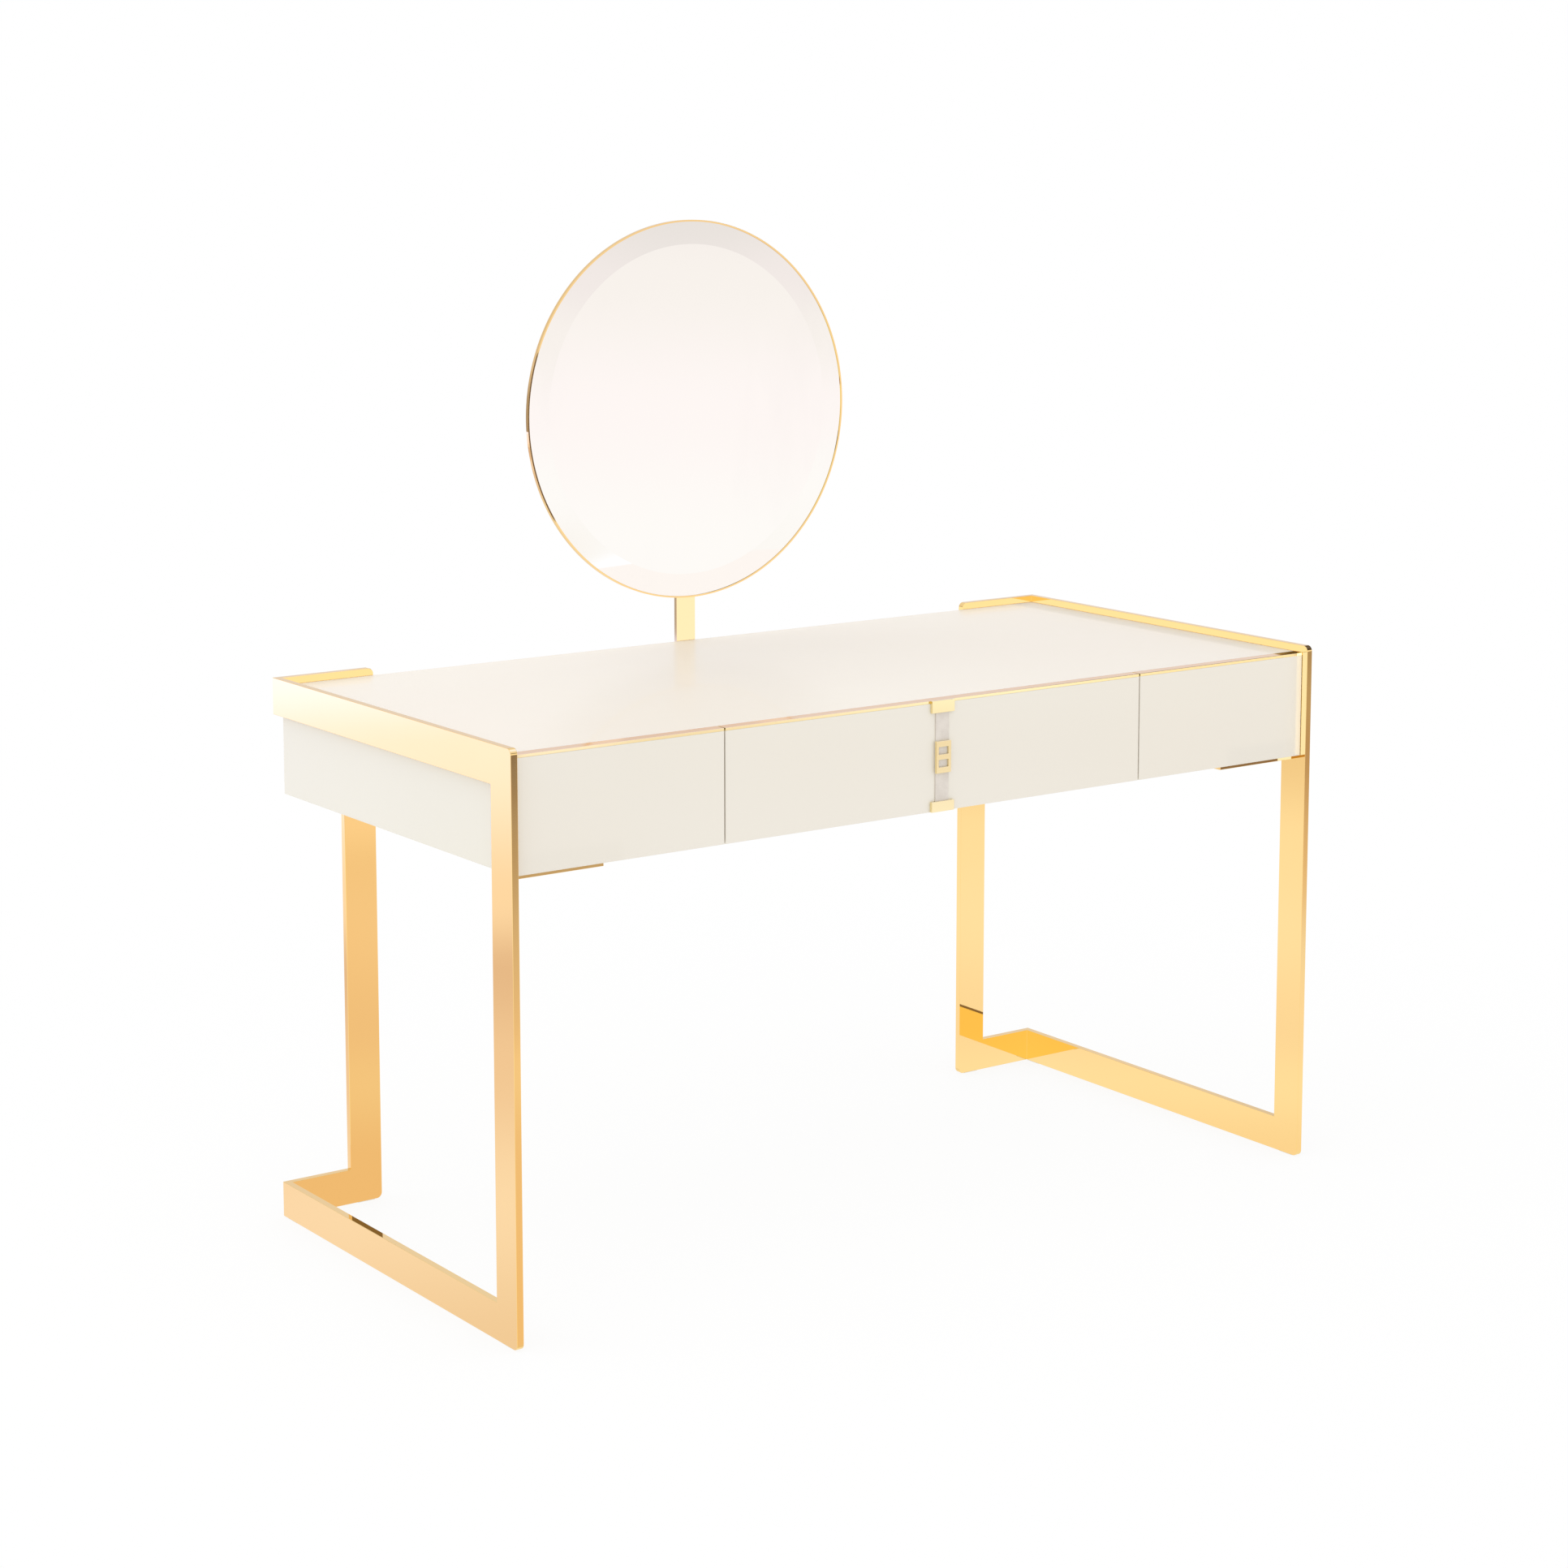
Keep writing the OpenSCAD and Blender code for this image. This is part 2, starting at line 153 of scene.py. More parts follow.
class Shader(Nodes):
    """A material with a Principled shader, textured in the object's own coordinates."""

    def __init__(self, name):
        self.material = bpy.data.materials.new(name)
        self.material.use_nodes = True
        super().__init__(self.material.node_tree, "Object")
        self.bsdf = self.tree.nodes["Principled BSDF"]

    def set(self, **values):
        """Sets the shader's own sockets, named with _ for a space."""
        for key, value in values.items():
            self.put(self.bsdf.inputs[key.replace("_", " ")], value)

    def surface(self, shader):
        """Makes another shader's output the material's surface."""
        self.put(self.tree.nodes["Material Output"].inputs["Surface"], shader)


def rgb(red, green, blue):
    """A linear colour from one in 0..255 sRGB."""
    def linear(value):
        value /= 255
        return value / 12.92 if value <= 0.04045 else ((value + 0.055) / 1.055) ** 2.4
    return (linear(red), linear(green), linear(blue), 1.0)


def polished_gold(name, colour, deep, rough):
    """Mirror-polished plate: a slow drift of tint, hairline polish marks, faint smudges."""
    s = Shader(name)
    drift = s.window(s.noise(2.2, 2.0), 0.35, 0.65)
    marks = s.noise(1.0, 4.0, s.stretched((900, 900, 60)), 0.7)
    smudge = s.window(s.noise(14.0, 4.0), 0.5, 0.75)
    polish = s.between(marks, rough * 0.7, rough * 1.3)
    s.set(
        Base_Color=s.blend(drift, colour, deep),
        Metallic=1.0,
        Roughness=s.plus(polish, s.between(smudge, 0.0, rough * 0.6)),
        Normal=s.bump(marks, 0.008, 0.02 * MM),
    )
    return s.material


def gloss_lacquer(name, colour, shade, coat):
    """Sprayed lacquer with a clear coat: slow colour drift and a very fine orange peel."""
    s = Shader(name)
    drift = s.window(s.noise(1.6, 3.0), 0.3, 0.7)
    fleck = s.noise(260.0, 2.0)
    tone = s.blend(drift, colour, shade)
    s.set(
        Base_Color=s.blend(s.between(fleck, 0.0, 0.1), tone, shade),
        Roughness=s.between(s.noise(30.0, 3.0), 0.3, 0.38),
        Specular_IOR_Level=0.3,
        Coat_Weight=coat,
        Coat_Roughness=0.04,
        Normal=s.bump(fleck, 0.01, 0.01 * MM),
    )
    return s.material


def birch(name, along):
    """Clear-finished birch. along is the grain's direction: 0 for X, 1 for Y."""
    s = Shader(name)
    coarse, fine = [34, 34, 34], [420, 420, 420]
    coarse[along], fine[along] = 2.4, 16
    figure = s.noise(1.0, 5.0, s.stretched(coarse), 0.6)
    pores = s.noise(1.0, 3.0, s.stretched(fine), 0.7)
    tone = s.blend(s.window(figure, 0.35, 0.68), rgb(232, 212, 180), rgb(207, 180, 140))
    dark = s.window(pores, 0.62, 0.72)
    s.set(
        Base_Color=s.blend(s.between(dark, 0.0, 0.45), tone, rgb(158, 126, 88)),
        Roughness=s.between(pores, 0.42, 0.6),
        Normal=s.bump(pores, 0.18, 0.12 * MM),
    )
    return s.material


def zinc_steel(name):
    """Rolled zinc-plated steel, brushed along Y, with slight spangle."""
    s = Shader(name)
    brushed = s.noise(1.0, 4.0, s.stretched((1800, 26, 1800)), 0.6)
    spangle = s.window(s.noise(90.0, 1.0), 0.35, 0.7)
    s.set(
        Base_Color=s.blend(spangle, rgb(206, 208, 212), rgb(184, 187, 192)),
        Metallic=1.0,
        Roughness=s.between(brushed, 0.24, 0.42),
        Normal=s.bump(brushed, 0.1, 0.03 * MM),
    )
    return s.material


def silvered_glass(name, middle, flat_r):
    """Silvered glass with faint wiped smears, whose ground bevel scatters a little more.

    middle is the disc's middle, and flat_r is the radius at which the bevel begins.
    """
    s = Shader(name)
    half_step = 0.5 * MM
    smear = s.window(s.noise(1.0, 4.0, s.stretched((9, 9, 3)), 0.6), 0.5, 0.8)
    across = s.add("VectorMath", {0: s.place, 1: middle}, operation="SUBTRACT").outputs[0]
    across = s.add("VectorMath", {0: across, 1: (1, 0, 1)}, operation="MULTIPLY").outputs[0]
    radius = s.add("VectorMath", {0: across}, operation="LENGTH").outputs["Value"]
    ground = s.window(radius, flat_r - half_step, flat_r + half_step)
    s.set(
        Base_Color=s.blend(smear, rgb(241, 236, 232), rgb(239, 234, 230)),
        Metallic=1.0,
        Roughness=s.plus(s.between(smear, 0.004, 0.02), s.between(ground, 0.0, 0.03)),
    )
    return s.material


def painted_plate(name):
    """Satin powder coat on the mirror's steel back."""
    s = Shader(name)
    peel = s.noise(900.0, 2.0)
    cloud = s.window(s.noise(6.0, 3.0), 0.3, 0.7)
    s.set(
        Base_Color=s.blend(cloud, rgb(232, 226, 214), rgb(224, 217, 204)),
        Roughness=s.between(peel, 0.36, 0.5),
        Normal=s.bump(peel, 0.25, 0.05 * MM),
    )
    return s.material


def strap_leather(name):
    """Fine-grained pale grey leather: creased cells and a slight burnish."""
    s = Shader(name)
    cells = s.add("TexVoronoi", {"Vector": s.place, "Scale": 900.0, "Randomness": 0.9},
                  feature="DISTANCE_TO_EDGE").outputs["Distance"]
    creases = s.window(cells, 0.0, 0.12)
    cloud = s.window(s.noise(60.0, 4.0), 0.3, 0.7)
    tone = s.blend(cloud, rgb(232, 224, 214), rgb(222, 213, 203))
    # The crease lines are also painted darker: painted shade in the grain's hollows.
    s.set(
        Base_Color=s.blend(s.between(creases, 0.35, 0.0), tone, rgb(196, 186, 175)),
        Roughness=s.between(cloud, 0.46, 0.6),
        Normal=s.bump(creases, 0.35, 0.08 * MM),
    )
    return s.material


def nylon(name):
    """Moulded white nylon with a slight mottle."""
    s = Shader(name)
    mottle = s.noise(400.0, 3.0)
    s.set(
        Base_Color=s.blend(mottle, rgb(240, 240, 238), rgb(228, 228, 225)),
        Roughness=s.between(mottle, 0.4, 0.55),
        Normal=s.bump(mottle, 0.1, 0.05 * MM),
    )
    return s.material


GOLD = polished_gold("gold_bar", rgb(255, 220, 150), rgb(255, 218, 147), 0.025)
GOLD_TRIM = polished_gold("gold_trim", rgb(255, 238, 190), rgb(255, 236, 185), 0.035)
# A darker, pinker copy of the trim gold for the trim's top faces: painted shade on the faces
# that look up.
TRIM_TOP_PAINTED_SHADE = polished_gold("trim_top", rgb(255, 213, 160), rgb(254, 210, 156), 0.06)
RIM_GOLD = polished_gold("rim_gold", rgb(244, 208, 146), rgb(242, 204, 141), 0.035)
POST_GOLD = polished_gold("post_gold", rgb(255, 229, 179), rgb(254, 227, 175), 0.035)
# The table top's lacquer is the fronts' cream painted lighter: painted light where the top
# catches more light.
LACQUER_TOP_PAINTED_LIGHT = gloss_lacquer("lacquer_top", rgb(244, 237, 224), rgb(243, 235, 222), 0.18)
LACQUER = gloss_lacquer("lacquer", rgb(238, 232, 220), rgb(237, 231, 219), 0.8)
LACQUER_CASE = gloss_lacquer("lacquer_case", rgb(237, 233, 219), rgb(236, 232, 218), 0.25)
BIRCH_X = birch("birch_across", 0)
BIRCH_Y = birch("birch_along", 1)
STEEL = zinc_steel("zinc_steel")
BACKING = painted_plate("painted_plate")
LEATHER = strap_leather("strap_leather")
NYLON = nylon("nylon")


# ---------------------------------------------------------------- mesh making

def from_cells(xs, ys, zs, solid):
    """A closed skin round the solid cells of a grid whose planes are at xs, ys and zs."""
    bm = bmesh.new()
    corners = {}

    def corner(i, j, k):
        if (i, j, k) not in corners:
            corners[i, j, k] = bm.verts.new((xs[i], ys[j], zs[k]))
        return corners[i, j, k]

    def filled(i, j, k):
        inside = 0 <= i < len(xs) - 1 and 0 <= j < len(ys) - 1 and 0 <= k < len(zs) - 1
        return inside and solid(i, j, k)

    walls = (
        ((-1, 0, 0), ((0, 0, 0), (0, 0, 1), (0, 1, 1), (0, 1, 0))),
        ((1, 0, 0), ((1, 0, 0), (1, 1, 0), (1, 1, 1), (1, 0, 1))),
        ((0, -1, 0), ((0, 0, 0), (1, 0, 0), (1, 0, 1), (0, 0, 1))),
        ((0, 1, 0), ((0, 1, 0), (0, 1, 1), (1, 1, 1), (1, 1, 0))),
        ((0, 0, -1), ((0, 0, 0), (0, 1, 0), (1, 1, 0), (1, 0, 0))),
        ((0, 0, 1), ((0, 0, 1), (1, 0, 1), (1, 1, 1), (0, 1, 1))),
    )
    for i in range(len(xs) - 1):
        for j in range(len(ys) - 1):
            for k in range(len(zs) - 1):
                if not filled(i, j, k):
                    continue
                for (di, dj, dk), wall in walls:
                    if not filled(i + di, j + dj, k + dk):
                        bm.faces.new([corner(i + a, j + b, k + c) for a, b, c in wall])
    return bm


def block(low, high):
    """A plain box between two corners."""
    return from_cells(*zip(low, high), lambda i, j, k: True)


def round_side_corners(bm, middle_x, beyond, radius, segments):
    """Rounds the edges along Y that lie further than beyond from middle_x, to either side."""
    chosen = []
    for edge in bm.edges:
        a, b = (v.co for v in edge.verts)
        runs_back = abs((b - a).normalized().y) > 0.99
        at_side = abs((a.x + b.x) / 2 - middle_x) > beyond
        if runs_back and at_side and edge.calc_face_angle(0.0) > SHARP:
            chosen.append(edge)
    bmesh.ops.bevel(bm, geom=chosen, offset=radius, segments=segments, profile=0.5,
                    affect="EDGES", clamp_overlap=True)


def lathe(profile, middle, segments, sharp_rings=()):
    """Turns closed outline points (radius, y) about the Y axis through middle.

    A point of radius 0 closes the shape on the axis. sharp_rings are the indices of points
    whose ring is a crease that shading does not smooth over.
    """
    bm = bmesh.new()
    rings = []
    for radius, y in profile:
        if radius == 0:
            rings.append([bm.verts.new((middle.x, y, middle.z))])
            continue
        rings.append([
            bm.verts.new((
                middle.x + radius * math.cos(2 * math.pi * n / segments),
                y,
                middle.z + radius * math.sin(2 * math.pi * n / segments),
            ))
            for n in range(segments)
        ])
    for first, second in zip(rings, rings[1:] + rings[:1]):
        if len(first) == 1 and len(second) == 1:
            continue
        for n in range(segments):
            m = (n + 1) % segments
            ring = [first[n % len(first)], first[m % len(first)],
                    second[m % len(second)], second[n % len(second)]]
            bm.faces.new(list(dict.fromkeys(ring)))
    for index in sharp_rings:
        ring = set(rings[index])
        for edge in bm.edges:
            if set(edge.verts) <= ring:
                edge.smooth = False
    return bm


def soften(obj, width, segments):
    """Rounds all the sharp edges of an object a little, keeping its flat faces flat."""
    bevel = obj.modifiers.new("soft_edges", "BEVEL")
    bevel.width = width
    bevel.segments = segments
    bevel.limit_method = "ANGLE"
    bevel.angle_limit = SHARP
    bevel.use_clamp_overlap = True
    flat = obj.modifiers.new("flat_faces", "WEIGHTED_NORMAL")
    flat.mode = "FACE_AREA"
    flat.weight = 100
    flat.thresh = 0.0
    flat.keep_sharp = True


def make_object(name, bm, material):
    """Puts a bmesh into the scene as an object of one material."""
    mesh = bpy.data.meshes.new(name)
    bm.to_mesh(mesh)
    bm.free()
    mesh.materials.append(material)
    obj = bpy.data.objects.new(name, mesh)
    bpy.context.scene.collection.objects.link(obj)
    return obj


def piece(name, bm, body, material, stands_for, edge=0.0, segments=3):
    """Makes a bmesh into a piece that rides on a body and stands for CAD nodes."""
    bmesh.ops.recalc_face_normals(bm, faces=bm.faces)
    obj = make_object(name, bm, material)
    for polygon in obj.data.polygons:
        polygon.use_smooth = True
    if edge:
        soften(obj, edge, segments)
    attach(obj, body)
    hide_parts(*stands_for)
    return obj


def dress(node, material, edge=0.4 * MM, segments=2):
    """Gives a CAD node that stays in view its material and softened edges."""
    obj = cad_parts[node]
    obj.data.materials.clear()
    obj.data.materials.append(material)
    weld = obj.modifiers.new("weld", "WELD")
    weld.merge_threshold = 0.005 * MM
    soften(obj, edge, segments)


# ---------------------------------------------------------------- side frames

def side_frame(side):
    """The folded flat bar of one side in one skin: front leg, rails, returns, back leg.

    The bar is a rectangular ring, laid out along stations from the front edge, round the
    corner, to the free end of the part along the back.
    """
    end_radius, end_segments = 8 * MM, 8
    front_low, front_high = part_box(f"{side}_front_leg")
    back_low, back_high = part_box(f"{side}_back_leg")
    outer_x, inner_x = front_low.x, front_high.x
    near_x, free_x = back_low.x, back_high.x
    if side == "right":
        outer_x, inner_x = inner_x, outer_x
        near_x, free_x = free_x, near_x
    outer = [(outer_x, front_low.y), (outer_x, front_high.y), (outer_x, back_high.y),
             (near_x, back_high.y), (free_x, back_high.y)]
    inner = [(inner_x, front_low.y), (inner_x, front_high.y), (inner_x, back_low.y),
             (near_x, back_low.y), (free_x, back_low.y)]
    heights = [front_low.z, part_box(f"{side}_foot_rail")[1].z,
               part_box(f"{side}_top_rail")[0].z, front_high.z]

    bm = bmesh.new()
    skins = [[[bm.verts.new((x, y, z)) for z in heights] for x, y in path]
             for path in (outer, inner)]
    columns, rows = len(outer) - 1, len(heights) - 1

    def filled(i, k):
        if not (0 <= i < columns and 0 <= k < rows):
            return False
        return i in (0, columns - 1) or k in (0, rows - 1)

    for i in range(columns):
        for k in range(rows):
            if not filled(i, k):
                continue
            loop = [(i, k), (i + 1, k), (i + 1, k + 1), (i, k + 1)]
            for skin in skins:
                bm.faces.new([skin[a][b] for a, b in loop])
            for n, (di, dk) in enumerate([(0, -1), (1, 0), (0, 1), (-1, 0)]):
                if not filled(i + di, k + dk):
                    (a, b), (c, d) = loop[n], loop[(n + 1) % 4]
                    bm.faces.new([skins[0][a][b], skins[0][c][d],
                                  skins[1][c][d], skins[1][a][b]])

    free_corners = []
    for i in (0, columns):
        for k in (0, rows):
            ends = {skins[0][i][k], skins[1][i][k]}
            free_corners += [e for e in bm.edges if set(e.verts) == ends]
    bmesh.ops.bevel(bm, geom=free_corners, offset=end_radius, segments=end_segments,
                    profile=0.5, affect="EDGES")
    parts = ("front_leg", "top_rail", "foot_rail", "top_return", "foot_return", "back_leg")
    piece(f"{side}_side_frame", bm, "table", GOLD,
          [f"{side}_{part}" for part in parts], edge=0.45 * MM)


for side in SIDES:
    side_frame(side)
    dress(f"{side}_bearer", GOLD)
dress("floor_glides", NYLON, edge=0.2 * MM)


# ---------------------------------------------------------------- case

def case_shell():
    """Lacquered case in one skin: two sides, back and bottom, open at the front and top."""
    left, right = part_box("left_side_panel"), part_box("right_side_panel")
    back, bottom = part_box("back_panel"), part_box("bottom_panel")
    xs = (left[0].x, left[1].x, right[0].x, right[1].x)
    ys = (left[0].y, back[0].y, back[1].y)
    zs = (bottom[0].z, bottom[1].z, left[1].z)
    bm = from_cells(xs, ys, zs, lambda i, j, k: not (i == 1 and j == 0 and k == 1))
    piece("case_shell", bm, "table", LACQUER_CASE,
          ["left_side_panel", "right_side_panel", "back_panel", "bottom_panel"],
          edge=0.8 * MM)


case_shell()
# The table top takes the lighter copy of the lacquer, painted light.
piece("table_top_panel", block(*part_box("table_top")), "table", LACQUER_TOP_PAINTED_LIGHT,
      ["table_top"], edge=0.8 * MM)
for side in SIDES:
    dress(f"{side}_divider", LACQUER_CASE)


# ---------------------------------------------------------------- drawers

def drawer_front(which):
    """Lacquered front with a polished metal trim on its upper edge, satin and painted darker
    and pinker on top: painted shade.
    """
    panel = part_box(f"{which}_drawer_front")
    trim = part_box(f"{which}_drawer_trim")
    body = f"{which}_drawer"
    piece(f"{which}_front_panel", block(*panel), body, LACQUER,
          [f"{which}_drawer_front"], edge=0.4 * MM)
    band = piece(f"{which}_front_trim", block(*trim), body, GOLD_TRIM,
                 [f"{which}_drawer_trim"], edge=0.4 * MM)
    # Faces that look up take the darker copy of the trim gold, painted shade.
    band.data.materials.append(TRIM_TOP_PAINTED_SHADE)
    nearly_up = 0.9
    for polygon in band.data.polygons:
        if polygon.normal.z > nearly_up:
            polygon.material_index = 1


for which in DRAWERS:
    drawer_front(which)
    dress(f"{which}_drawer_sides", BIRCH_Y, edge=1.2 * MM, segments=3)
    dress(f"{which}_drawer_back", BIRCH_X, edge=1.2 * MM, segments=3)
    dress(f"{which}_drawer_bottom", BIRCH_X)
    for runners in ("case_runners", "mid_runners", "drawer_runners"):
        dress(f"{which}_{runners}", STEEL, edge=0.3 * MM)


# ---------------------------------------------------------------- strap, clips and buckle

def strap_clip(name):
    """A clip's folded plate with soft corners and a pocket behind its face for the strap."""
    low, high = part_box(name)
    strap_low, strap_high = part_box("strap")
    upper = name == "strap_top_clip"
    pocket_z = strap_high.z if upper else strap_low.z
    xs = (low.x, strap_low.x, strap_high.x, high.x)
    ys = (low.y, strap_low.y, high.y)
    zs = (low.z, pocket_z, high.z)
    pocket_row = 0 if upper else 1
    bm = from_cells(xs, ys, zs, lambda i, j, k: not (i == 1 and j == 1 and k == pocket_row))
    middle_x = (low.x + high.x) / 2
    beyond_strap = (strap_high.x + high.x) / 2 - middle_x
    round_side_corners(bm, middle_x, beyond_strap, 1.0 * MM, 4)
    piece(f"{name}_plate", bm, "centre_drawer", GOLD_TRIM, [name],
          edge=0.45 * MM)


def strap_buckle():
    """Plain two-window slide buckle, with softened bars."""
    low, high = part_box("strap_buckle")
    side_bar, end_bar, middle_bar = 4.5 * MM, 8 * MM, 7 * MM
    middle = (low + high) / 2
    xs = (low.x, low.x + side_bar, high.x - side_bar, high.x)
    zs = (low.z, low.z + end_bar, middle.z - middle_bar / 2, middle.z + middle_bar / 2,
          high.z - end_bar, high.z)
    bm = from_cells(xs, (low.y, high.y), zs, lambda i, j, k: not (i == 1 and k in (1, 3)))
    beyond_windows = high.x - middle.x - side_bar - 1 * MM
    round_side_corners(bm, middle.x, beyond_windows, 2.0 * MM, 6)
    piece("slide_buckle", bm, "centre_drawer", GOLD_TRIM, ["strap_buckle"],
          edge=0.6 * MM)


piece("strap_band", block(*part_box("strap")), "centre_drawer", LEATHER, ["strap"],
      edge=0.6 * MM, segments=4)
strap_clip("strap_top_clip")
strap_clip("strap_bottom_clip")
strap_buckle()


# ---------------------------------------------------------------- mirror

def round_mirror():
    """Bevelled glass, thin rim and painted backing, all turned about the same axis."""
    rim_low, rim_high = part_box("mirror_rim")
    glass_low, glass_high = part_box("mirror_glass")
    back_low, back_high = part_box("mirror_backing")
    middle = (rim_low + rim_high) / 2
    rim_r = (rim_high.x - rim_low.x) / 2
    glass_r = (glass_high.x - glass_low.x) / 2
    bevel_w, edge_t = 32 * MM, 3.2 * MM
    turns = 256

    glass = [(0, glass_low.y), (glass_r - bevel_w, glass_low.y),
             (glass_r, glass_high.y - edge_t), (glass_r, glass_high.y), (0, glass_high.y)]
    silver = silvered_glass("silvered_glass", middle, glass_r - bevel_w)
    piece("mirror_bevelled_glass", lathe(glass, middle, turns, sharp_rings=(1, 2, 3)),
          "mirror", silver, ["mirror_glass"])
    rim = [(glass_r, rim_low.y), (rim_r, rim_low.y), (rim_r, rim_high.y),
           (glass_r, rim_high.y)]
    piece("mirror_rim_band", lathe(rim, middle, turns), "mirror", RIM_GOLD,
          ["mirror_rim"], edge=0.15 * MM, segments=2)
    backing = [(0, back_low.y), (glass_r, back_low.y), (glass_r, back_high.y),
               (0, back_high.y)]
    piece("mirror_back_plate", lathe(backing, middle, turns, sharp_rings=(1, 2)), "mirror",
          BACKING, ["mirror_backing"])


round_mirror()
dress("mirror_post", POST_GOLD, edge=0.5 * MM, segments=3)
dress("hinge_knuckle", GOLD_TRIM, edge=0.3 * MM)
dress("mirror_bracket", GOLD_TRIM, edge=0.3 * MM)
dress("hinge_pin", STEEL, edge=0.3 * MM)


# ---------------------------------------------------------------- screws

for node in ("bearer_screws", "rail_screws", "post_screws"):
    dress(node, STEEL, edge=0.2 * MM)


# ---------------------------------------------------------------- floor

def studio_floor():
    """A pale floor, mostly glowing, that turns pure white round the table."""
    half = 30.0
    white_from, white_by = 0.9, 2.2
    least_glow = 0.88
    s = Shader("studio_floor")
    distance = s.add("VectorMath", {0: s.place}, operation="LENGTH").outputs["Value"]
    glow = s.between(s.window(distance, white_from, white_by), least_glow, 1.0)
    s.set(
        Base_Color=s.blend(s.noise(3.0, 2.0), (0.93, 0.93, 0.93, 1.0), (0.95, 0.95, 0.95, 1.0)),
        Roughness=0.9,
        Specular_IOR_Level=0.0,
    )
    white = s.add("Emission", {"Color": WHITE, "Strength": 1.0})
    mix = s.add("MixShader", {0: glow, 1: s.bsdf.outputs[0], 2: white.outputs[0]})
    s.surface(mix.outputs[0])

    bm = bmesh.new()
    bm.faces.new([bm.verts.new((x, y, 0.0))
                  for x, y in ((-half, -half), (half, -half), (half, half), (-half, half))])
    floor = make_object("studio_floor", bm, s.material)
    floor.visible_glossy = False


# ---------------------------------------------------------------- surroundings and lights

# How bright the studio is in red, green and blue, by how far up a reflection looks: the Z of
# its direction, from 30 degrees below the horizon to 30 degrees above it. Below the horizon
# the studio is bright, and above it dimmer.
AROUND = [
    (-0.5, (0.95, 0.95, 0.92)),
    (-0.39, (0.98, 0.96, 0.92)),
    (-0.345, (1.0, 0.93, 0.85)),
    (-0.305, (0.98, 0.93, 0.90)),
    (-0.285, (1.02, 1.04, 1.08)),
    (-0.27, (0.99, 0.97, 1.02)),
    (-0.24, (1.04, 1.05, 1.14)),
    (-0.215, (1.02, 1.02, 1.06)),
    (-0.19, (0.90, 0.83, 0.78)),
    (-0.17, (1.11, 1.13, 1.12)),
    (-0.13, (1.13, 1.15, 1.15)),
    (-0.09, (1.13, 1.11, 1.12)),
    (-0.05, (1.07, 1.06, 1.04)),
    (-0.02, (1.01, 0.98, 0.98)),
    (0.015, (0.91, 0.90, 0.88)),
    (0.06, (0.87, 0.84, 0.84)),
    (0.2, (0.80, 0.78, 0.84)),
    (0.5, (0.86, 0.86, 0.88)),
]
# The same at the back left, where a bright cool window lies under a dark wall.
BACK_LEFT = [
    (-0.5, (0.90, 0.90, 0.90)),
    (-0.36, (0.89, 0.82, 0.91)),
    (-0.32, (0.98, 0.96, 1.16)),
    (-0.28, (0.89, 0.80, 0.90)),
    (-0.254, (0.80, 0.68, 0.74)),
    (-0.235, (1.00, 0.95, 1.10)),
    (-0.19, (1.20, 1.22, 1.85)),
    (-0.165, (1.30, 1.45, 2.80)),
    (-0.155, (0.45, 0.40, 0.42)),
    (0.0, (0.50, 0.46, 0.48)),
    (0.2, (0.80, 0.78, 0.84)),
    (0.5, (0.86, 0.86, 0.88)),
]
BRIGHTEST = 4.0


